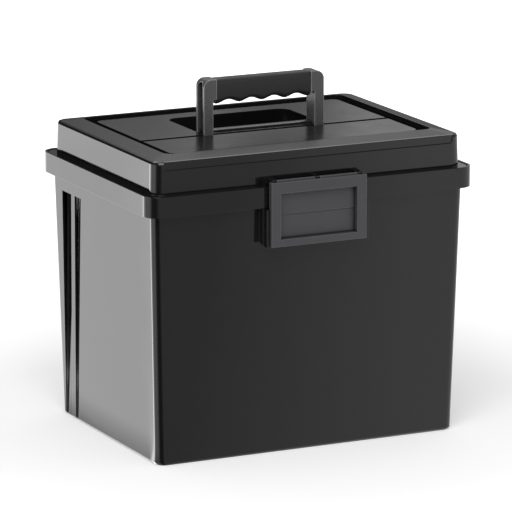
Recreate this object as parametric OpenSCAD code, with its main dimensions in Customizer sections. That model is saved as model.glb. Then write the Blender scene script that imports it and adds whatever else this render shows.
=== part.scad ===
/* [Tub] */
// Width over the rim, left to right
rim_w = 350; // [340:1:370]
// Depth over the rim, front to back
rim_d = 263; // [250:1:285]
// Height of the tub from its base to the top of the rim
tub_h = 267.5; // [255:0.5:290]
// Wall thickness of the mouldings
wall = 2.4; // [2:0.1:2.8]
// How far the rim stands out past the tub wall below it
rim_overhang = 8.3; // [7.5:0.1:10]
// Height of the rim's outer band
rim_drop = 20.5; // [18:0.5:24]
// How much the tub narrows from the rim down to the base, on each side
draft = 6.2; // [3:0.1:8]
// Radius of the tub's upright corners
corner_r = 10; // [8:0.5:13]

/* [Lid] */
// Height of the lid's crown above the rim
lid_h = 34.5; // [32:0.5:42]
// Step in from the rim's outer face to the lid wall
lid_inset = 9.6; // [9:0.1:11]
// Width of the raised frame round the lid's top
frame_w = 21; // [18:1:26]
// Drop from the crown to the groove round the panel
groove_drop = 8; // [6:0.5:9]
// Drop from the crown to the panel
panel_drop = 2.2; // [1:0.1:4]
// Width of the groove round the panel
groove_w = 10; // [6:1:12]
// Width of the groove across the panel, in front of the handle
split_w = 6; // [3:0.5:8]

/* [Handle] */
// Width over the two handle posts
handle_w = 130.6; // [120:0.2:150]
// Height of the raised handle above the crown
handle_rise = 51; // [46:1:56]
// Front-to-back thickness of the handle
handle_t = 18; // [16:0.5:18]
// Height of the soft grip
grip_h = 25; // [22:1:28]
// Pitch of the finger hollows under the grip
finger_pitch = 24.6; // [22:0.2:25]
// Depth of each finger hollow
finger_d = 3.5; // [2:0.5:4]
// Room for fingers in the pocket behind the folded handle
finger_room = 20; // [16:1:24]

/* [Latch] */
// Width of the latch plate
latch_w = 102; // [96:1:110]
// Height of the latch plate
latch_h = 63; // [60:1:66]
// How far the latch plate stands out past the rim
latch_proud = 8.2; // [8:0.1:10]
// Width of the border round the latch plate's hollow
latch_border = 10; // [8:0.5:12]
// Depth of the latch plate's hollow
latch_hollow = 6; // [4:0.5:6]

/* [Hinge] */
// Distance from the middle of the box to each rear hinge
hinge_x = 95; // [80:1:110]
// Width of one rear hinge over its three knuckles
hinge_w = 44; // [40:1:54]
// Diameter of the rear hinge pins
hinge_pin_d = 3; // [2.5:0.5:4]
// How far the rear hinges let the lid swing, in degrees
lid_open = 105; // [95:1:110]

/* [File rails] */
// Distance between the middles of the two rails that carry hanging folders
rail_span = 311; // [308:1:313]
// Height of each rail above its ledge
rail_rise = 6; // [4:0.5:8]

/* [Hidden] */
$fn = 64;
seam = 0.4;                                    // gap left between neighbouring mouldings
overlap = 0.6;                                 // how far joined shapes run into each other
past = 1;                                      // how far cutting shapes run past a face
slice = 0.1;                                   // thickness of the slices that a hull spans
pin_fit = 0.04;                                // radial clearance where a pin is held
pin_run = 0.08;                                // radial clearance where a part turns on its pin

// tub
half_x = rim_w / 2;
half_y = rim_d / 2;
edge_r = 2.2;                                  // eased lower edge of the tub
rim_r = corner_r + 6;
skirt_z = tub_h - rim_drop;
ledge_drop = 3.6;
ledge_z = tub_h - ledge_drop;
ledge_under = ledge_z - wall;
base_x = half_x - rim_overhang - draft;
base_y = half_y - rim_overhang - draft;
function grow_at(z) = draft * z / skirt_z;     // how much wider the wall is at height z
mouth_x = base_x + grow_at(ledge_z) - wall;
mouth_y = base_y + grow_at(ledge_z) - wall;
inner_r = corner_r - wall;
foot_w = 13;
foot_h = 1.8;
sole_t = 2.6;
floor_z = foot_h + sole_t;

// flutes near the rear of both sides: distances forward from the rear wall, at top and bottom
flute_top_z = skirt_z - 15.5;
flutes = [[[26, 48], [11.5, 26.5]], [[56.5, 71.5], [35.5, 42]]];
flute_x = base_x - 1.3;

// gussets under the rim
gusset_t = 2;
gusset_rise = 4;                               // they stop this far above the rim's lower edge
gusset_pitch = 40;
corner_gusset = half_x - 50;
side_gussets = [for (i = [-2:1]) i * gusset_pitch];
front_gussets = [for (s = [-1, 1], i = [0, 1]) s * (corner_gusset - i * gusset_pitch)];
rear_gussets = [0, for (s = [-1, 1], i = [-1, 1]) s * (hinge_x + i * gusset_pitch)];

// rails
rail_t = 2.2;
rail_x = rail_span / 2;
rail_z = skirt_z;
rail_y = mouth_y - 14;

// keeper cheeks beside the latch, below the rim
cheek_t = 2.4;
cheek_gap = 1.3;
cheek_x = latch_w / 2 + cheek_gap;
cheek_front = half_y + 5;
cheek_h = 38.5;
cheek_under = 0.8;                             // its front part stops this far under the rim
cheek_slope = 4;                               // rise of its lower edge towards the tub
cheek_root = 6;                                // reach of its thicker root
cheek_root_t = 1;                              // extra thickness of that root

// lid
lid_x = half_x - lid_inset;
lid_y = half_y - lid_inset;
lid_r = corner_r + 2.6;
crown_z = tub_h + lid_h;
brow_z = crown_z - 3;                          // where the sloping frame meets the rounded edge
brow_r = 2.8;
lid_lean = 0.9;
flange_z = ledge_z + seam;
flange_t = 2.6;
flange_gap = 1.2;
flange_x = half_x - wall - flange_gap;
flange_y = half_y - wall - flange_gap;
opening_x = lid_x - lid_lean - frame_w;        // inner edge of the raised frame
opening_y = lid_y - lid_lean - frame_w;
opening_r = 8;
groove_z = crown_z - groove_drop;
panel_z = crown_z - panel_drop;
panel_x = opening_x - groove_w;
panel_y = opening_y - groove_w;
ceiling_z = groove_z - wall;
strip_d = 1.2;                                 // finger strip along the lid's front face
strip_h = 8.5;
strip_r = 3;
strip_x = lid_x - 11;

// handle and its pocket
pivot_y = -9.6;
pivot_pin_r = 2.5;
handle_x = handle_w / 2;
handle_half = handle_t / 2;
post_low_t = 10.1;
post_top_t = 14;
barrel_rise = 1;                               // the handle's barrel stands this much over the crown
pivot_z = crown_z + barrel_rise - handle_half;
handle_top = crown_z + handle_rise;
handle_reach = handle_top - pivot_z;
handle_corner_r = 8;
post_neck_z = handle_top - grip_h + 5;
post_web = 3;                                  // wall left behind the channel in each post
channel_edge = 2.6;
channel_top = handle_top - 3;
hub_wall = 2.2;
pin_collar = 1.2;                              // a pin's head is this much larger in radius
side_gap = 1;
slot_out_x = handle_x + side_gap;
slot_in_x = handle_x - post_low_t - side_gap;
slot_mid_x = (slot_in_x + slot_out_x) / 2;
slot_half = (slot_out_x - slot_in_x) / 2;
slot_front = pivot_y - handle_half - side_gap;
slot_floor = pivot_z - handle_half - 2;
barrel_back = pivot_y + handle_half;
pocket_back = pivot_y + handle_reach + finger_room;
pocket_r = 12;
grip_x = handle_x - post_top_t;
core_t = 10;
core_h = 12;
core_top = handle_top - (grip_h - core_h) / 2;
core_fit = 0.05;
finger_half = 10;
finger_r = (finger_half * finger_half + finger_d * finger_d) / (2 * finger_d);
grip_r = 6;

// latch
plate_face = half_y + latch_proud;             // distance of the front face from the middle
plate_t = 2.2;
plate_top = tub_h + 5;
plate_bottom = plate_top - latch_h;
plate_edge_d = 5.4;
latch_pin_r = 1.5;
barrel_r = 3.2;
axis_y = -(plate_face - plate_t - barrel_r - 1.1);
axis_z = plate_top - 1.6;
lug_t = 5.2;
arm_rise = 2;                                  // the latch's arms and rear knuckles rise this much to the lid
lug_x = latch_w / 2 - plate_t - seam - lug_t;
floor_t = 1.5;
hollow_x = latch_w / 2 - latch_border;
hollow_top = plate_top - latch_border - 1;
hollow_bottom = plate_bottom + latch_border - 3;
crease_z = plate_bottom + latch_h * 0.48;
crease_d = 0.8;
plate_back = -plate_face + latch_hollow + floor_t;

// snap ridge on the back of the latch plate: its upper slope bears under the rim's front edge
ridge_w = 26;
ridge_reach = 1.5;                             // how far it catches under the rim
ridge_gap = 0.35;
ridge_hold = 55;                               // slope that holds under the rim
ridge_lead = 60;                               // slope that rides over the rim as the latch closes
ridge_y = -half_y + ridge_reach;
ridge_z = skirt_z - ridge_gap / cos(ridge_hold) - ridge_reach * tan(ridge_hold);

// rear hinge
hinge_r = hinge_pin_d / 2 + 2.3;
hinge_gap = 0.6;
hinge_y = half_y + hinge_r + hinge_gap;
hinge_z = tub_h - 1;
knuckle_w = (hinge_w - 2 * seam) / 3;
heel_h = 2.2;
heel_gap = 0.2;
pin_clear = hinge_pin_d / 2 + 1.2;             // faces beside a hinge bore start this far from its axis
pin_head_r = hinge_pin_d / 2 + pin_collar;
pin_head_t = 1.4;

module outline(x, y, r) {
    square([2 * (x - r), 2 * y], center = true);
    square([2 * x, 2 * (y - r)], center = true);
    for (sx = [-1, 1], sy = [-1, 1])
        translate([sx * (x - r), sy * (y - r)])
            circle(r = r);
}

module slab(x, y, r, z0, z1) {
    translate([0, 0, z0])
        linear_extrude(z1 - z0)
            outline(x, y, r);
}

// A bar along X with a round section
module rod(x0, x1, y, z, r) {
    translate([x0, y, z])
        rotate([0, 90, 0])
            cylinder(h = x1 - x0, r = r);
}

// A prism along X whose section is drawn in Y and Z
module prism(x0, x1, points) {
    translate([x0, 0, 0])
        rotate([90, 0, 90])
            linear_extrude(x1 - x0)
                polygon(points);
}

module box(x0, x1, y0, y1, z0, z1) {
    translate([x0, y0, z0])
        cube([x1 - x0, y1 - y0, z1 - z0]);
}

// ---- tub ----

module tub_solid() {
    hull() {
        slab(base_x - edge_r, base_y - edge_r, corner_r - edge_r, 0, slice);
        slab(base_x, base_y, corner_r, edge_r, edge_r + slice);
        slab(mouth_x + wall, mouth_y + wall, corner_r, ledge_z - slice, ledge_z);
    }
}

module tub_hollow() {
    hull() {
        slab(base_x - wall, base_y - wall, inner_r, floor_z, floor_z + slice);
        slab(mouth_x, mouth_y, inner_r, ledge_z, ledge_z + slice);
    }
}

// A flute's outline on the side wall, down to height low, grown by g for the moulding behind it
module flute(i, g, low, x0, x1) {
    top = flutes[i][0];
    foot = flutes[i][1];
    rear_top = base_y + grow_at(flute_top_z);
    prism(x0, x1, [
        [rear_top - top[1] - g, flute_top_z + g],
        [rear_top - top[0] + g, flute_top_z + g],
        [base_y - foot[0] + g, low],
        [base_y - foot[1] - g, low]]);
}

// Outer band, the ledge that the lid sits on, and the hollow under the ledge
module rim() {
    difference() {
        slab(half_x, half_y, rim_r, skirt_z, tub_h);
        slab(half_x - wall, half_y - wall, rim_r - wall, ledge_z, tub_h + past);
        slab(half_x - wall, half_y - wall, rim_r - wall, skirt_z - past, ledge_under);
        slab(mouth_x, mouth_y, inner_r, skirt_z - past, tub_h + past);
    }
}

// One gusset between the tub wall at inner and the rim at outer, along X
module gusset(inner, outer, y) {
    box(min(inner, outer), max(inner, outer), y - gusset_t / 2, y + gusset_t / 2,
        skirt_z + gusset_rise, ledge_under + overlap);
}

module rim_gussets() {
    inner_x = mouth_x + overlap;
    inner_y = mouth_y + overlap;
    for (s = [-1, 1], y = side_gussets)
        gusset(s * inner_x, s * (half_x - overlap), y);
    for (x = front_gussets)
        rotate([0, 0, 90])
            gusset(-inner_y, -half_y + overlap, -x);
    for (x = rear_gussets)
        rotate([0, 0, 90])
            gusset(inner_y, half_y - overlap, -x);
}

// Rail for hanging folders: a ledge off the side wall with an upstanding edge
module file_rail() {
    box(rail_x - rail_t / 2, mouth_x + overlap, -rail_y, rail_y, rail_z, rail_z + wall);
    box(rail_x - rail_t / 2, rail_x + rail_t / 2, -rail_y, rail_y, rail_z, rail_z + wall + rail_rise);
}

// Cheek that guards one side of the latch and stiffens the rim
module keeper_cheek() {
    low = skirt_z - cheek_h;
    inner = -mouth_y - overlap;
    root = -mouth_y - wall - cheek_root;
    prism(cheek_x, cheek_x + cheek_t, [
        [inner, low + cheek_slope], [inner, ledge_under + overlap],
        [-half_y + overlap, ledge_under + overlap], [-half_y + overlap, skirt_z - cheek_under],
        [-cheek_front, skirt_z - cheek_under], [-cheek_front, low]]);
    prism(cheek_x, cheek_x + cheek_t + cheek_root_t, [
        [inner, low + cheek_slope], [inner, skirt_z + overlap],
        [root, skirt_z + overlap], [root, low + cheek_slope / 2]]);
}

// Knuckle on the rim, from x0 to x1
module tub_knuckle(x0, x1) {
    rod(x0, x1, hinge_y, hinge_z, hinge_r);
    prism(x0, x1, [
        [half_y - overlap, hinge_z - hinge_r - 4], [half_y - overlap, hinge_z],
        [hinge_y - pin_clear, hinge_z], [hinge_y, hinge_z - pin_clear],
        [hinge_y + hinge_r * 0.7, hinge_z - hinge_r * 0.7]]);
}

module tub() {
    color("#202022")
    difference() {
        union() {
            difference() {
                tub_solid();
                tub_hollow();
            }
            rim();
            rim_gussets();
            for (m = [0, 1])
                mirror([m, 0, 0]) {
                    for (i = [0, 1])
                        flute(i, wall, floor_z - overlap, flute_x - wall, base_x);
                    file_rail();
                    keeper_cheek();
                    tub_knuckle(hinge_x - hinge_w / 2, hinge_x - hinge_w / 2 + knuckle_w);
                    tub_knuckle(hinge_x + hinge_w / 2 - knuckle_w, hinge_x + hinge_w / 2);
                }
        }
        for (m = [0, 1])
            mirror([m, 0, 0]) {
                for (i = [0, 1])
                    flute(i, 0, -past, flute_x, half_x);
                rod(hinge_x - hinge_w, hinge_x + hinge_w, hinge_y, hinge_z, hinge_pin_d / 2 + pin_fit);
            }
        slab(base_x - foot_w, base_y - foot_w, corner_r, -past, foot_h);
    }
}

// ---- lid ----

// Outer form of the lid: walls that lean in, a rounded edge, and the frame sloping up from it
module lid_solid() {
    hull() {
        slab(lid_x, lid_y, lid_r, flange_z, flange_z + slice);
        for (a = [0, 45, 90]) {
            inset = lid_lean + brow_r * (1 - cos(a));
            z = brow_z - brow_r * (1 - sin(a));
            slab(lid_x - inset, lid_y - inset, lid_r - inset + lid_lean, z - slice, z);
        }
        slab(opening_x + past, opening_y + past, opening_r + past, crown_z - slice, crown_z);
    }
}

// The U-shaped pocket that the handle folds into, grown by g
module pocket(g, z0, z1) {
    translate([0, 0, z0])
        linear_extrude(z1 - z0) {
            translate([-slot_out_x - g, barrel_back - g])
                square([2 * (slot_out_x + g), pocket_back - pocket_r - barrel_back + g]);
            translate([-slot_out_x - g + pocket_r, barrel_back - g])
                square([2 * (slot_out_x + g - pocket_r), pocket_back - barrel_back + 2 * g]);
            for (s = [-1, 1]) {
                translate([s * (slot_out_x + g - pocket_r), pocket_back + g - pocket_r])
                    circle(r = pocket_r);
                translate([s > 0 ? slot_in_x - g : -slot_out_x - g, slot_front - g])
                    square([slot_out_x - slot_in_x + 2 * g, barrel_back - slot_front + 2 * g]);
            }
        }
}

// Shallow finger strip along the top of the lid's front face
module front_strip() {
    top = brow_z + 1;
    low = brow_z - strip_h;
    translate([0, -lid_y + lid_lean + strip_d, 0])
        rotate([90, 0, 0])
            linear_extrude(strip_d + lid_lean + past) {
                translate([-strip_x, low + strip_r])
                    square([2 * strip_x, top - low - strip_r]);
                translate([-strip_x + strip_r, low])
                    square([2 * (strip_x - strip_r), top - low]);
                for (s = [-1, 1])
                    translate([s * (strip_x - strip_r), low + strip_r])
                        circle(r = strip_r);
            }
}

// Arm and eye that carry the latch pin
module latch_lug(x) {
    rod(x, x + lug_t, axis_y, axis_z, barrel_r);
    prism(x, x + lug_t, [
        [axis_y, axis_z + barrel_r], [-lid_y + wall, axis_z + barrel_r + arm_rise],
        [-lid_y + wall, tub_h + seam], [axis_y + barrel_r * 0.4, tub_h + seam],
        [axis_y + barrel_r * 0.75, axis_z]]);
}

module lid_knuckle(x0, x1) {
    rod(x0, x1, hinge_y, hinge_z, hinge_r);
    prism(x0, x1, [
        [lid_y - wall, tub_h + seam], [lid_y - wall, hinge_z + hinge_r + arm_rise],
        [hinge_y, hinge_z + hinge_r], [hinge_y - pin_clear, tub_h + seam]]);
    // heel that meets the rim's rear face when the lid is fully open
    translate([0, hinge_y, hinge_z])
        rotate([lid_open, 0, 0])
            box(x0, x1, -hinge_r - hinge_gap + heel_gap, -pin_clear, -heel_h, past);
}

// Hollow half-round barrel between the handle's posts, seen from outside or inside
module barrel(g) {
    x = slot_in_x - g;
    rod(-x, x, pivot_y, pivot_z, handle_half - g);
    box(-x, x, pivot_y - handle_half + g, pivot_y + handle_half - g, ceiling_z - g, pivot_z);
}

// Hollow inside the raised frame
module frame_hollow() {
    difference() {
        slab(lid_x - lid_lean - wall, lid_y - lid_lean - wall, lid_r - wall,
            ceiling_z - past, brow_z - wall);
        slab(opening_x + wall, opening_y + wall, opening_r + wall, ceiling_z - 2 * past, crown_z);
    }
}

// Lid walls, seating flange and raised frame, hollow underneath
module lid_shell() {
    difference() {
        union() {
            lid_solid();
            slab(flange_x, flange_y, rim_r - wall - flange_gap, flange_z, flange_z + flange_t);
        }
        difference() {
            union() {
                slab(lid_x - wall, lid_y - wall, lid_r - wall, flange_z - past, ceiling_z);
                frame_hollow();
            }
            // the front wall is thicker behind the finger strip
            box(-strip_x - wall, strip_x + wall, -lid_y, -lid_y + lid_lean + strip_d + wall,
                brow_z - strip_h - wall, brow_z);
        }
        slab(opening_x, opening_y, opening_r, groove_z, crown_z + past);
        front_strip();
    }
}

// Hollow under the panel, all but a band under the groove across it
module panel_hollow() {
    difference() {
        slab(panel_x - wall, panel_y - wall, opening_r - wall, ceiling_z - past, panel_z - wall);
        box(-panel_x, panel_x, slot_front - split_w - wall, slot_front + wall,
            ceiling_z - 2 * past, panel_z);
    }
}

module lid() {
    color("#242426")
    difference() {
        union() {
            difference() {
                union() {
                    difference() {
                        union() {
                            lid_shell();
                            slab(panel_x, panel_y, opening_r, groove_z - overlap, panel_z);
                        }
                        panel_hollow();
                    }
                    pocket(wall, slot_floor - wall, panel_z);
                }
                // groove across the panel
                box(-panel_x - past, panel_x + past, slot_front - split_w, slot_front,
                    groove_z, panel_z + past);
            }
            barrel(0);
            for (x = [-lug_x - lug_t, -lug_t / 2, lug_x])
                latch_lug(x);
            for (s = [-1, 1])
                lid_knuckle(s * hinge_x - knuckle_w / 2, s * hinge_x + knuckle_w / 2);
        }
        pocket(0, slot_floor, crown_z + 2 * past);
        barrel(wall);
        for (s = [-1, 1])
            rod(s * slot_mid_x - slot_half - wall - slice, s * slot_mid_x + slot_half + wall + slice,
                pivot_y, pivot_z, pivot_pin_r + pin_fit);
        rod(-latch_w / 2, latch_w / 2, axis_y, axis_z, latch_pin_r + pin_fit);
        rod(-hinge_x - hinge_w, hinge_x + hinge_w, hinge_y, hinge_z, hinge_pin_d / 2 + pin_run);
    }
}

// ---- pins ----

module hinge_pin(x) {
    color("#8e9194") {
        rod(x - hinge_w / 2, x + hinge_w / 2, hinge_y, hinge_z, hinge_pin_d / 2);
        rod(x - hinge_w / 2 - pin_head_t, x - hinge_w / 2, hinge_y, hinge_z, pin_head_r);
        rod(x + hinge_w / 2, x + hinge_w / 2 + pin_head_t, hinge_y, hinge_z, pin_head_r);
    }
}

module left_hinge_pin() {
    hinge_pin(-hinge_x);
}

module right_hinge_pin() {
    hinge_pin(hinge_x);
}

module latch_pin() {
    color("#8e9194")
    rod(-lug_x - lug_t, lug_x + lug_t, axis_y, axis_z, latch_pin_r);
}

// Pin pushed outward from inside the barrel, with its head against the barrel's end wall
module handle_pin() {
    head_x = slot_in_x - wall;
    color("#8e9194") {
        rod(head_x, slot_out_x + wall, pivot_y, pivot_z, pivot_pin_r);
        rod(head_x - pin_head_t, head_x, pivot_y, pivot_z, pivot_pin_r + pin_collar);
    }
}

module left_handle_pin() {
    mirror([1, 0, 0])
        handle_pin();
}

module right_handle_pin() {
    handle_pin();
}

// ---- latch ----

module latch_barrel(x0, x1) {
    rod(x0, x1, axis_y, axis_z, barrel_r);
    box(x0, x1, -plate_face + plate_t - overlap, axis_y - barrel_r * 0.6, axis_z - barrel_r, axis_z);
}

// Snap ridge on the back of the plate, as far as the face of the plate's hollow
module snap_ridge() {
    depth = ridge_y - plate_back + floor_t;
    prism(-ridge_w / 2, ridge_w / 2, [
        [ridge_y, ridge_z],
        [ridge_y - depth, ridge_z + depth * tan(ridge_hold)],
        [ridge_y - depth, ridge_z - depth * tan(ridge_lead)]]);
}

module latch_plate() {
    half = latch_w / 2;
    deep = -plate_face + latch_hollow;
    color("#6c6d71")
    difference() {
        union() {
            // border, with edges turned back
            difference() {
                box(-half, half, -plate_face, -plate_face + plate_edge_d, plate_bottom, plate_top);
                box(-half + plate_t, half - plate_t, -plate_face + plate_t, -plate_face + plate_edge_d + past,
                    plate_bottom + plate_t, plate_top + past);
            }
            // walls and floor of the hollow
            box(-hollow_x - plate_t, hollow_x + plate_t, -plate_face + slice, plate_back,
                hollow_bottom - plate_t, hollow_top + plate_t);
            box(-hollow_x - plate_t, hollow_x + plate_t, -plate_face + slice, plate_back + crease_d,
                hollow_bottom - plate_t, crease_z);
            latch_barrel(-lug_x + seam, -lug_t / 2 - seam);
            latch_barrel(lug_t / 2 + seam, lug_x - seam);
            snap_ridge();
        }
        box(-hollow_x, hollow_x, -plate_face - past, deep, hollow_bottom, hollow_top);
        box(-hollow_x, hollow_x, -plate_face - past, deep + crease_d, hollow_bottom, crease_z);
        rod(-half, half, axis_y, axis_z, latch_pin_r + pin_run);
    }
}

// ---- handle ----

// Front outline of one post, with its rounded outer corner at the top
module post_outline() {
    translate([handle_x - post_low_t, pivot_z])
        square([post_low_t, handle_top - handle_corner_r - pivot_z]);
    intersection() {
        translate([handle_x - post_top_t, post_neck_z])
            square([post_top_t, handle_top - post_neck_z]);
        union() {
            square([handle_x - handle_corner_r, handle_top]);
            square([handle_x, handle_top - handle_corner_r]);
            translate([handle_x - handle_corner_r, handle_top - handle_corner_r])
                circle(r = handle_corner_r);
        }
    }
}

module post() {
    channel_half = handle_half - channel_edge;
    channel_x = handle_x - post_low_t + post_web;
    arch_z = channel_top - channel_half;
    hub_r = pivot_pin_r + hub_wall;
    difference() {
        union() {
            translate([0, pivot_y + handle_half, 0])
                rotate([90, 0, 0])
                    linear_extrude(handle_t)
                        post_outline();
            rod(handle_x - post_low_t, handle_x, pivot_y, pivot_z, handle_half);
        }
        // channel down the outside, with an arched top, round the hub
        difference() {
            union() {
                rod(channel_x, handle_x + past, pivot_y, arch_z, channel_half);
                rod(channel_x, handle_x + past, pivot_y, pivot_z, channel_half);
                box(channel_x, handle_x + past, pivot_y - channel_half, pivot_y + channel_half,
                    pivot_z, arch_z);
            }
            rod(handle_x - post_low_t, handle_x, pivot_y, pivot_z, hub_r);
        }
        rod(handle_x - post_low_t - past, handle_x + past, pivot_y, pivot_z, pivot_pin_r + pin_run);
    }
}

// A square-edged bar through the grip, grown by g
module core(end, g) {
    box(-end, end, pivot_y - core_t / 2 - g, pivot_y + core_t / 2 + g, core_top - core_h - g, core_top + g);
}

module handle_frame() {
    color("#8a8b8d") {
        post();
        mirror([1, 0, 0])
            post();
        core(grip_x + overlap, 0);
    }
}

module handle_grip() {
    end = grip_x - core_fit;
    low = handle_top - grip_h;
    color("#3a3b3d")
    difference() {
        translate([-end, pivot_y, handle_top - grip_h / 2])
            rotate([90, 0, 90])
                linear_extrude(2 * end)
                    outline(handle_half, grip_h / 2, grip_r);
        core(grip_x + past, core_fit);
        for (i = [-1.5, -0.5, 0.5, 1.5])
            translate([i * finger_pitch, pivot_y + handle_t, low + finger_d - finger_r])
                rotate([90, 0, 0])
                    cylinder(h = 2 * handle_t, r = finger_r);
    }
}

tub();
lid();
left_hinge_pin();
right_hinge_pin();
latch_plate();
latch_pin();
handle_frame();
handle_grip();
left_handle_pin();
right_handle_pin();
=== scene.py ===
import math

import bmesh
import bpy
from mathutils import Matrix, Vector


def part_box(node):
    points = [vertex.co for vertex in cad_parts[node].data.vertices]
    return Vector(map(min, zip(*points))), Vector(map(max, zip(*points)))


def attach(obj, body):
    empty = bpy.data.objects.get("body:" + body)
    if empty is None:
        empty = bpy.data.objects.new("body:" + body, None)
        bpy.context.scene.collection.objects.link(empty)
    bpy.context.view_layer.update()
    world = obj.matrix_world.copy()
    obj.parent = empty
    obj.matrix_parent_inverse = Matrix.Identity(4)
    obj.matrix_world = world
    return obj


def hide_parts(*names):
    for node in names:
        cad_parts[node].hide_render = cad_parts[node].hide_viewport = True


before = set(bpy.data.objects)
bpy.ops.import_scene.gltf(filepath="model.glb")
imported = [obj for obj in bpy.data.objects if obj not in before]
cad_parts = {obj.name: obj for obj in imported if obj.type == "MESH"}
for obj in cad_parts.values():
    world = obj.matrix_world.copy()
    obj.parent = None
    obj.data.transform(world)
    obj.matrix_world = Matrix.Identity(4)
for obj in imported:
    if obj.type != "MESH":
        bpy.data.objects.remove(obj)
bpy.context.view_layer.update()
MM = 0.001

# The start-up file's own objects have no place in this scene.
for spare in ("Cube", "Light", "Camera"):
    if spare in bpy.data.objects:
        bpy.data.objects.remove(bpy.data.objects[spare])


# ---- Tub ----
# The deep moulded box that holds the papers: black polypropylene, injection moulded in one piece
# with its rim, rails, cheeks and rear knuckles, polished outside so that it mirrors its surroundings.

def new_finish(name):
    """A new material, with its node tree and its one shader."""
    mat = bpy.data.materials.new(name)
    mat.use_nodes = True
    return mat, mat.node_tree, mat.node_tree.nodes["Principled BSDF"]


def noise(tree, waves, detail=4.0, rough=0.55, stretch=(1, 1, 1)):
    """Three-dimensional noise fixed to the part, with this many waves per metre."""
    where = tree.nodes.new("ShaderNodeTexCoord")
    place = tree.nodes.new("ShaderNodeMapping")
    place.inputs["Scale"].default_value = stretch
    tree.links.new(where.outputs["Object"], place.inputs["Vector"])
    made = tree.nodes.new("ShaderNodeTexNoise")
    made.inputs["Scale"].default_value = waves
    made.inputs["Detail"].default_value = detail
    made.inputs["Roughness"].default_value = rough
    tree.links.new(place.outputs["Vector"], made.inputs["Vector"])
    return made.outputs["Fac"]


def spread(tree, value, low, high, start=0.3, stop=0.7):
    """Runs from low to high while a value goes from start to stop, and holds beyond them. Unless
    it is told otherwise, it takes the middle of a noise, where nearly all of it lies."""
    made = tree.nodes.new("ShaderNodeMapRange")
    made.inputs["From Min"].default_value = start
    made.inputs["From Max"].default_value = stop
    made.inputs["To Min"].default_value = low
    made.inputs["To Max"].default_value = high
    tree.links.new(value, made.inputs["Value"])
    return made.outputs["Result"]


def shades(tree, value, dark, light):
    """Blends two colours by a 0 to 1 value."""
    made = tree.nodes.new("ShaderNodeMix")
    made.data_type = "RGBA"
    made.inputs["A"].default_value = (*dark, 1)
    made.inputs["B"].default_value = (*light, 1)
    tree.links.new(value, made.inputs["Factor"])
    return made.outputs["Result"]


def bumps(tree, shader, layers, edge):
    """Eased edges of radius edge, under bump layers of (height value, depth)."""
    ease = tree.nodes.new("ShaderNodeBevel")
    ease.samples = 6
    ease.inputs["Radius"].default_value = edge
    normal = ease.outputs["Normal"]
    for height, depth in layers:
        bump = tree.nodes.new("ShaderNodeBump")
        bump.inputs["Strength"].default_value = 1.0
        bump.inputs["Distance"].default_value = depth
        tree.links.new(height, bump.inputs["Height"])
        tree.links.new(normal, bump.inputs["Normal"])
        normal = bump.outputs["Normal"]
    tree.links.new(normal, shader.inputs["Normal"])


def black_plastic():
    """Polished black moulding, a little wavy over its length as thin walls are."""
    mat, tree, shader = new_finish("gloss_black_plastic")
    cloudy = noise(tree, 9, 3)
    polish = noise(tree, 26, 5)
    wavy = noise(tree, 14, 2)
    speck = noise(tree, 900, 2)
    shader.inputs["Specular IOR Level"].default_value = 0.5
    tree.links.new(shades(tree, cloudy, (0.005, 0.005, 0.0052), (0.0075, 0.0075, 0.0078)),
                   shader.inputs["Base Color"])
    tree.links.new(spread(tree, polish, 0.06, 0.1), shader.inputs["Roughness"])
    bumps(tree, shader, [(wavy, 0.1 * MM), (speck, 0.002 * MM)], edge=0.9 * MM)
    return mat


def dress(node, mat):
    """Puts one finish on every slot of a carried-over node."""
    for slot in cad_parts[node].material_slots:
        slot.material = mat


dress("tub", black_plastic())


# ---- Rear hinge pins ----
# Two short lengths of drawn steel wire with upset heads, which the lid turns on. They are pushed
# through the bores of the rear knuckles of tub and lid.

def pin_steel():
    """Bright steel with the fine lines that drawing leaves along the wire."""
    mat, tree, shader = new_finish("drawn_steel")
    shader.inputs["Metallic"].default_value = 1.0
    drawn = noise(tree, 500, 3, stretch=(0.05, 1, 1))
    tree.links.new(shades(tree, drawn, (0.42, 0.42, 0.43), (0.6, 0.6, 0.61)),
                   shader.inputs["Base Color"])
    tree.links.new(spread(tree, drawn, 0.25, 0.42), shader.inputs["Roughness"])
    bumps(tree, shader, [(drawn, 0.01 * MM)], edge=0.2 * MM)
    return mat


steel = pin_steel()
dress("left_hinge_pin", steel)
dress("right_hinge_pin", steel)


# ---- Lid ----
# Shallow moulded cover of the same black plastic. Its walls, grooves and finger pocket are polished
# like the tub, and only its raised frame, panel and barrel are finely grained, to scatter light.

def above(tree, height, blend):
    """0 below a height on the part and 1 above it, with a blend to either side."""
    where = tree.nodes.new("ShaderNodeTexCoord")
    parts = tree.nodes.new("ShaderNodeSeparateXYZ")
    tree.links.new(where.outputs["Object"], parts.inputs["Vector"])
    return spread(tree, parts.outputs["Z"], 0.0, 1.0, height - blend, height + blend)


def maths(tree, operation, first, second=0.0):
    """The result of one operation on two values, each a number or a node's output."""
    made = tree.nodes.new("ShaderNodeMath")
    made.operation = operation
    for socket, value in zip(made.inputs, (first, second)):
        if isinstance(value, (int, float)):
            socket.default_value = value
        else:
            tree.links.new(value, socket)
    return made.outputs["Value"]


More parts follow.
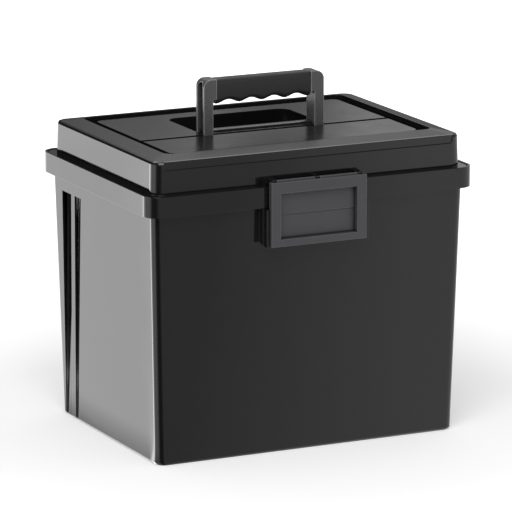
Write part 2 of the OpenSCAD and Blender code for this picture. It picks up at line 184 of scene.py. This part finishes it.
def lid_plastic(grain_z):
    """The tub's plastic, polished below a height and finely grained above it."""
    mat, tree, shader = new_finish("grained_black_plastic")
    cloudy = noise(tree, 9, 3)
    wavy = noise(tree, 14, 2)
    top = above(tree, grain_z, 0.3 * MM)
    polished = spread(tree, noise(tree, 26, 5), 0.06, 0.1)
    grained = spread(tree, noise(tree, 30, 4), 0.19, 0.27)
    grain = maths(tree, "MULTIPLY", noise(tree, 1400, 3, 0.7), top)
    shader.inputs["Specular IOR Level"].default_value = 0.55
    tree.links.new(shades(tree, cloudy, (0.005, 0.005, 0.0052), (0.0085, 0.0085, 0.0088)),
                   shader.inputs["Base Color"])
    rougher = maths(tree, "MULTIPLY", top, maths(tree, "SUBTRACT", grained, polished))
    tree.links.new(maths(tree, "ADD", polished, rougher), shader.inputs["Roughness"])
    bumps(tree, shader, [(wavy, 0.1 * MM), (grain, 0.02 * MM)], edge=0.7 * MM)
    return mat


# Frame, panel and barrel lie less than this under the lid's highest point, and groove and pocket more.
grain_depth = 4.3 * MM
dress("lid", lid_plastic(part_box("lid")[1].z - grain_depth))


# ---- Handle pins and latch pin ----
# The pins that the handle and the latch turn on, of the same drawn steel wire. The handle's two are
# pushed outward from inside the lid's barrel, and the latch's one runs through the lid's three lugs.

for pin in ("left_handle_pin", "right_handle_pin", "latch_pin"):
    dress(pin, steel)


# ---- Latch ----
# A satin dark grey moulding, hung by its two barrels on the pin between the lid's lugs. Its edges are
# turned back for stiffness, and its face has a sunk panel. Its colour carries painted shade along the
# panel's sides and creases, and a painted highlight on its outer edges.

def openness(tree, reach, inside):
    """How open the surface is within reach, 0 to 1, seen from outside or from inside the wall."""
    made = tree.nodes.new("ShaderNodeAmbientOcclusion")
    made.only_local = True
    made.inside = inside
    made.samples = 8
    made.inputs["Distance"].default_value = reach
    return made.outputs["AO"]


def painted_shade_in_hollows(tree, colour, reach, least, deep):
    """Painted shade: a colour that falls to a least share of itself where openness drops to deep, as
    in grooves.
    """
    flat = 0.97
    share = spread(tree, openness(tree, reach, inside=False), least, 1.0, deep, flat)
    made = tree.nodes.new("ShaderNodeVectorMath")
    made.operation = "SCALE"
    tree.links.new(colour, made.inputs["Vector"])
    tree.links.new(share, made.inputs["Scale"])
    return made.outputs["Vector"]


def painted_edge_highlights(tree, colour, reach, light):
    """Painted highlight: a colour that turns lighter along outer edges."""
    sharp = 0.5
    flat = 0.85
    edge_highlight = spread(tree, openness(tree, reach, inside=True), 1.0, 0.0, sharp, flat)
    made = tree.nodes.new("ShaderNodeMix")
    made.data_type = "RGBA"
    made.inputs["B"].default_value = (*light, 1)
    tree.links.new(colour, made.inputs["A"])
    tree.links.new(edge_highlight, made.inputs["Factor"])
    return made.outputs["Result"]


def grey_plastic(name, dark, light, smooth, rough, hollow, edge_highlight):
    """Satin grey moulding with painted shade in hollows and painted edge highlights; hollow holds the
    reach, least and deep of that shade.
    """
    mat, tree, shader = new_finish(name)
    cloudy = noise(tree, 40, 4)
    satin = noise(tree, 60, 5)
    grain = noise(tree, 1500, 3, 0.7)
    # Base colour: painted shade in the hollows, then a painted highlight along the outer edges.
    shaded = painted_shade_in_hollows(tree, shades(tree, cloudy, dark, light), *hollow)
    tree.links.new(painted_edge_highlights(tree, shaded, 1.3 * MM, edge_highlight), shader.inputs["Base Color"])
    tree.links.new(spread(tree, satin, smooth, rough), shader.inputs["Roughness"])
    bumps(tree, shader, [(grain, 0.02 * MM)], edge=0.7 * MM)
    return mat


latch_grey = grey_plastic("satin_dark_grey_plastic",
                          dark=(0.045, 0.045, 0.05), light=(0.055, 0.055, 0.061),
                          smooth=0.28, rough=0.4,
                          hollow=(2 * MM, 0.1, 0.6), edge_highlight=(0.1, 0.1, 0.105))
dress("latch_plate", latch_grey)


# ---- Handle ----
# The satin grey bail: two posts moulded with open channels down their outsides, and the cross bar
# between them that runs through the grip. Its outer edges carry a painted highlight, paler than its
# faces, and its channels a painted shade.

handle_grey = grey_plastic("satin_grey_plastic",
                           dark=(0.062, 0.062, 0.064), light=(0.08, 0.08, 0.082),
                           smooth=0.2, rough=0.32,
                           hollow=(7 * MM, 0.12, 0.45), edge_highlight=(0.3, 0.3, 0.3))
dress("handle_frame", handle_grey)


# ---- Grip ----
# The soft dark sleeve moulded over the handle's cross bar, its long edges well rounded, with four
# shallow hollows below for the fingers and a small round at each end where it meets the posts.

grip_low, grip_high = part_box("handle_grip")
grip_middle = (grip_low + grip_high) / 2
grip_half_y = grip_high.y - grip_middle.y
grip_half_z = grip_high.z - grip_middle.z
grip_edge = 6 * MM
grip_end = 0.9 * MM
finger_pitch = 24.6 * MM
finger_depth = 3.5 * MM
# Under 1, this widens the hollows and sharpens the ridges between them.
finger_fullness = 0.8
fingers = 4
corner_steps = 7
end_steps = 5
body_steps = 96


def grip_section():
    """Section of the sleeve: a round-cornered oblong as (y, z) from its middle."""
    points = []
    for side_y, side_z, start in ((1, 1, 0), (-1, 1, 90), (-1, -1, 180), (1, -1, 270)):
        for step in range(corner_steps + 1):
            angle = math.radians(start + 90 * step / corner_steps)
            points.append((side_y * (grip_half_y - grip_edge) + grip_edge * math.cos(angle),
                           side_z * (grip_half_z - grip_edge) + grip_edge * math.sin(angle)))
    return points


def grip_stations():
    """Places of the rings along x: close together round each end, and even between the ends."""
    body_length = grip_high.x - grip_low.x - 2 * grip_end
    turns = [math.radians(90 * k / end_steps) for k in range(end_steps)]
    left_end = [grip_low.x + grip_end * (1 - math.cos(turn)) for turn in turns]
    body = [grip_low.x + grip_end + body_length * k / body_steps for k in range(body_steps + 1)]
    right_end = [2 * grip_middle.x - x for x in reversed(left_end)]
    return left_end + body + right_end


def finger_hollow(x):
    """Height of the sleeve's underside over its lowest ridges at x."""
    across = (x - grip_middle.x) / finger_pitch + fingers / 2
    if not 0 < across < fingers:
        return 0.0
    wave = 0.5 - 0.5 * math.cos(2 * math.pi * across)
    return finger_depth * wave ** finger_fullness


def grip_ring(x, section):
    """One ring of the sleeve, drawn in at the ends and raised under the fingers."""
    to_end = min(x - grip_low.x, grip_high.x - x)
    drawn_in = 0.0
    if to_end < grip_end:
        drawn_in = grip_end - math.sqrt(grip_end ** 2 - (grip_end - to_end) ** 2)
    thin_y = 1 - drawn_in / grip_half_y
    thin_z = 1 - drawn_in / grip_half_z
    lift = 1 - finger_hollow(x) / grip_half_z
    ring = []
    for y, z in section:
        z *= thin_z if z > 0 else thin_z * lift
        ring.append((x, grip_middle.y + y * thin_y, grip_middle.z + z))
    return ring


def lofted(name, rings, mat):
    """A closed mesh through rings of points, with a flat face at each end."""
    mesh = bmesh.new()
    made = [[mesh.verts.new(point) for point in ring] for ring in rings]
    for near, far in zip(made, made[1:]):
        for k in range(len(near)):
            after = (k + 1) % len(near)
            mesh.faces.new((near[k], near[after], far[after], far[k])).smooth = True
    mesh.faces.new(made[0])
    mesh.faces.new(made[-1])
    bmesh.ops.recalc_face_normals(mesh, faces=mesh.faces)
    data = bpy.data.meshes.new(name)
    mesh.to_mesh(data)
    mesh.free()
    data.materials.append(mat)
    piece = bpy.data.objects.new(name, data)
    bpy.context.scene.collection.objects.link(piece)
    return piece


def soft_grip():
    """Soft dark material with a slight pebble and a fine, dull skin."""
    mat, tree, shader = new_finish("soft_dark_grip")
    cloudy = noise(tree, 60, 4)
    dull = noise(tree, 90, 5)
    pebble = noise(tree, 70, 3)
    skin = noise(tree, 1800, 3, 0.7)
    shader.inputs["Specular IOR Level"].default_value = 0.45
    tree.links.new(shades(tree, cloudy, (0.016, 0.016, 0.017), (0.026, 0.026, 0.027)),
                   shader.inputs["Base Color"])
    tree.links.new(spread(tree, dull, 0.42, 0.55), shader.inputs["Roughness"])
    bumps(tree, shader, [(pebble, 0.05 * MM), (skin, 0.03 * MM)], edge=0.4 * MM)
    return mat


section = grip_section()
grip = lofted("soft_grip", [grip_ring(x, section) for x in grip_stations()], soft_grip())
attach(grip, "handle")
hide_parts("handle_grip")


# ---- Paper sweep ----
# The pale paper that the box stands on, and the paper hung behind it. To the camera it is white with
# the box's soft shadow. In the gloss both sheets have lit and dark stretches of their own, which
# give the polished walls their light left side and dark front.

# A point just inside the foot of the tub's front left corner.
corner_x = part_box("tub")[0].x + 23 * MM
corner_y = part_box("tub")[0].y + 23 * MM
# How far to the right a line of sight runs for each metre forward, once the front has mirrored it.
mirrored_slope = 0.53
floor_reach = 8.0
backdrop_y = 1.5
backdrop_top = 1.6
backdrop_bottom = 1 * MM

# The floor's glow in the gloss, as (degrees, strength). The degrees tell the way from the corner:
# -90 is straight back, 0 is straight to the left, and 90 is straight forward.
floor_at_left = [(-180, 0.0), (-94, 0.0), (-83, 2.3), (-66, 2.3), (-63, 2.9), (-60, 7.6), (-55, 7.4),
                 (-47, 3.0), (-38, 1.7), (-22, 1.1), (-10, 1.3), (-2, 1.5), (8, 1.1), (16, 0.5),
                 (24, 0.05), (48, 0.03), (64, 0.0), (180, 0.0)]
floor_in_front = [(-180, 1.0), (-94, 1.0), (-83, 0.0), (52, 0.0), (72, 1.0), (180, 1.0)]


def position(tree):
    """World place of the point being shaded, as x, y and z."""
    where = tree.nodes.new("ShaderNodeNewGeometry")
    parts = tree.nodes.new("ShaderNodeSeparateXYZ")
    tree.links.new(where.outputs["Position"], parts.inputs["Vector"])
    return parts.outputs


def graded(tree, value, low, high, stops):
    """A value that runs straight between (place, strength) stops from low to high."""
    most = max(strength for _, strength in stops)
    made = tree.nodes.new("ShaderNodeValToRGB")
    ramp = made.color_ramp
    while len(ramp.elements) < len(stops):
        ramp.elements.new(0.5)
    for element, (place, strength) in zip(ramp.elements, stops):
        element.position = (place - low) / (high - low)
        element.color = (strength / most, strength / most, strength / most, 1)
    tree.links.new(spread(tree, value, 0.0, 1.0, low, high), made.inputs["Fac"])
    return maths(tree, "MULTIPLY", made.outputs["Color"], most)


def fade_to_white(tree):
    """The paper's glow to the camera: weak round the box, where its shadow lies, and full beyond."""
    place = position(tree)
    squares = maths(tree, "ADD", maths(tree, "POWER", place["X"], 2.0),
                    maths(tree, "POWER", place["Y"], 2.0))
    distance = maths(tree, "SQRT", squares)
    return spread(tree, distance, 0.3, 1.0, start=0.3, stop=1.3)


def floor_tone(tree):
    """The floor as the gloss shows it: lit beside the left side, brightest where the front left
    corner begins to turn, black beyond that, and in front a plain grey, paler to the right."""
    place = position(tree)
    left = maths(tree, "SUBTRACT", corner_x, place["X"])
    forward = maths(tree, "SUBTRACT", corner_y, place["Y"])
    way = maths(tree, "MULTIPLY", maths(tree, "ARCTAN2", forward, left), 180 / math.pi)
    beside = graded(tree, way, -180, 180, floor_at_left)
    close_by = graded(tree, left, 0.0, 1.0, [(0.0, 0.45), (0.05, 1.0), (1.0, 1.0)])
    in_front = graded(tree, way, -180, 180, floor_in_front)
    across = maths(tree, "ADD", place["X"], maths(tree, "MULTIPLY", place["Y"], mirrored_slope))
    paper_grey = spread(tree, across, 0.44, 0.9, start=-0.21, stop=0.06)
    return maths(tree, "ADD", maths(tree, "MULTIPLY", beside, close_by),
                 maths(tree, "MULTIPLY", in_front, paper_grey))


def backdrop_tone(tree):
    """The backdrop as the gloss shows it: at the left it is lit at the foot and dark above, and at
    the right it is pale, darker low down and more even higher up."""
    place = position(tree)
    foot = graded(tree, place["Z"], 0.0, backdrop_top, [(0.0, 2.4), (0.26, 2.4), (0.36, 0.03),
                                                        (1.6, 0.03)])
    left = graded(tree, place["X"], -1.2, 1.2, [(-1.2, 1.0), (-0.1, 1.0), (0.1, 0.0), (1.2, 0.0)])
    across = graded(tree, place["X"], 0.0, 1.2, [(0.1, 0.0), (0.4, 0.34), (0.58, 0.36), (0.67, 0.6),
                                                 (0.72, 0.3), (0.82, 0.32), (0.88, 0.8), (0.96, 0.8),
                                                 (1.1, 0.6)])
    even_tone = 0.68
    high_up = graded(tree, place["Z"], 0.0, backdrop_top, [(0.85, 0.0), (1.1, 1.0), (1.6, 1.0)])
    low_down = graded(tree, place["Z"], 0.0, backdrop_top, [(0.5, 0.2), (0.67, 1.0), (1.6, 1.0)])
    evened = maths(tree, "MULTIPLY", high_up, maths(tree, "SUBTRACT", even_tone, across))
    right = maths(tree, "MULTIPLY", low_down, maths(tree, "ADD", across, evened))
    not_left = maths(tree, "SUBTRACT", 1.0, left)
    return maths(tree, "ADD", maths(tree, "MULTIPLY", left, foot),
                 maths(tree, "MULTIPLY", not_left, right))


def glow(tree, strength):
    """A white emission of a strength that a node gives."""
    made = tree.nodes.new("ShaderNodeEmission")
    tree.links.new(strength, made.inputs["Strength"])
    return made.outputs["Emission"]


def blend_shaders(tree, kind, first, second, amount=None):
    """Adds or mixes two shaders, by an amount where the kind of node takes one."""
    made = tree.nodes.new(kind)
    if amount is not None:
        tree.links.new(amount, made.inputs["Fac"])
    slots = [socket for socket in made.inputs if socket.type == "SHADER"]
    tree.links.new(first, slots[0])
    tree.links.new(second, slots[1])
    return made.outputs["Shader"]


def paper(name, mirror_glow):
    """Matt paper that fades to white for the camera and has a glow of its own in the gloss."""
    mat, tree, shader = new_finish(name)
    shader.inputs["Base Color"].default_value = (0.8, 0.8, 0.8, 1)
    shader.inputs["Roughness"].default_value = 0.9
    rays = tree.nodes.new("ShaderNodeLightPath")
    whitening = maths(tree, "MULTIPLY", fade_to_white(tree), rays.outputs["Is Camera Ray"])
    lit = blend_shaders(tree, "ShaderNodeAddShader", shader.outputs["BSDF"], glow(tree, whitening))
    shown = blend_shaders(tree, "ShaderNodeMixShader", lit, glow(tree, mirror_glow(tree)),
                          rays.outputs["Is Glossy Ray"])
    tree.links.new(shown, tree.nodes["Material Output"].inputs["Surface"])
    return mat


def sheet(name, corners, mat):
    """One flat sheet that belongs to the scene and not to the box."""
    mesh = bpy.data.meshes.new(name)
    mesh.from_pydata(corners, [], [tuple(range(len(corners)))])
    made = bpy.data.objects.new(name, mesh)
    made.data.materials.append(mat)
    bpy.context.scene.collection.objects.link(made)
    return made


sheet("floor", [(-floor_reach, -floor_reach, 0), (floor_reach, -floor_reach, 0),
                (floor_reach, floor_reach, 0), (-floor_reach, floor_reach, 0)],
      paper("floor_paper", floor_tone))
backdrop = sheet("backdrop", [(-floor_reach, backdrop_y, backdrop_bottom),
                              (floor_reach, backdrop_y, backdrop_bottom),
                              (floor_reach, backdrop_y, backdrop_top),
                              (-floor_reach, backdrop_y, backdrop_top)],
                 paper("backdrop_paper", backdrop_tone))
backdrop.visible_camera = False
backdrop.visible_diffuse = False
backdrop.visible_shadow = False


# ---- Studio light ----
# A plain sky all round and one soft lamp above the front left. In the gloss the sky is grey low down
# and dark overhead, with one light band behind, which draws the bright lines along the upper edges.

# The sky's glow in the gloss, as (height of the way to it, strength): 0 is level and 1 overhead.
sky_all_round = [(0.0, 0.35), (0.45, 0.35), (0.62, 0.1), (1.0, 0.05)]
sky_behind = [(0.0, 0.4), (0.6, 0.5), (0.66, 3.2), (0.8, 3.2), (0.86, 0.03), (1.0, 0.03)]

world = bpy.data.worlds.new("studio")
bpy.context.scene.world = world
world.use_nodes = True
sky = world.node_tree
sky_light = sky.nodes["Background"]
sky_light.inputs["Color"].default_value = (1, 1, 1, 1)
sky_light.inputs["Strength"].default_value = 0.55
sky_white = sky.nodes.new("ShaderNodeBackground")
sky_white.inputs["Strength"].default_value = 1.0
sky_gloss = sky.nodes.new("ShaderNodeBackground")
sky_rays = sky.nodes.new("ShaderNodeLightPath")
sky_way = sky.nodes.new("ShaderNodeTexCoord")
sky_parts = sky.nodes.new("ShaderNodeSeparateXYZ")
sky.links.new(sky_way.outputs["Generated"], sky_parts.inputs["Vector"])
plain = graded(sky, sky_parts.outputs["Z"], 0.0, 1.0, sky_all_round)
band = graded(sky, sky_parts.outputs["Z"], 0.0, 1.0, sky_behind)
behind = spread(sky, sky_parts.outputs["Y"], 0.0, 1.0, start=0.0, stop=0.25)
from_band = maths(sky, "MULTIPLY", behind, maths(sky, "SUBTRACT", band, plain))
sky.links.new(maths(sky, "ADD", plain, from_band), sky_gloss.inputs["Strength"])
lit_sky = blend_shaders(sky, "ShaderNodeMixShader", sky_light.outputs["Background"],
                        sky_gloss.outputs["Background"], sky_rays.outputs["Is Glossy Ray"])
sky.links.new(blend_shaders(sky, "ShaderNodeMixShader", lit_sky, sky_white.outputs["Background"],
                            sky_rays.outputs["Is Camera Ray"]),
              sky.nodes["World Output"].inputs["Surface"])


def lamp(name, place, aim, size, watts):
    """A square soft lamp aimed at a point and hidden from the camera."""
    data = bpy.data.lights.new(name, "AREA")
    data.size = size
    data.energy = watts
    made = bpy.data.objects.new(name, data)
    made.location = place
    made.rotation_mode = "QUATERNION"
    made.rotation_quaternion = (Vector(aim) - Vector(place)).to_track_quat("-Z", "Y")
    made.visible_camera = False
    bpy.context.scene.collection.objects.link(made)


lamp("key_lamp", place=(-1.2, -2.0, 2.4), aim=(0, 0, 0.15), size=2.3, watts=64)


# ---- Camera ----
# Stands where the photograph was taken from, in front of the box, to its left and above it, and is
# turned to about the box's middle. A longer lens than the photograph's closes in on the box.

camera_place = Vector((-1.88304, -3.88634, 1.15278))
camera_aim = Vector((0.0, 0.0, 0.168))
photo_lens = 182.8
closer = 1.72

camera_data = bpy.data.cameras.new("camera")
camera = bpy.data.objects.new("camera", camera_data)
bpy.context.scene.collection.objects.link(camera)
bpy.context.scene.camera = camera
camera.location = camera_place
camera.rotation_mode = "QUATERNION"
camera.rotation_quaternion = (camera_aim - camera_place).to_track_quat("-Z", "Y")
camera_data.sensor_width = 36.0
camera_data.lens = photo_lens * closer
camera_data.clip_start = 0.1
camera_data.clip_end = 50

bpy.context.scene.view_settings.view_transform = "Standard"
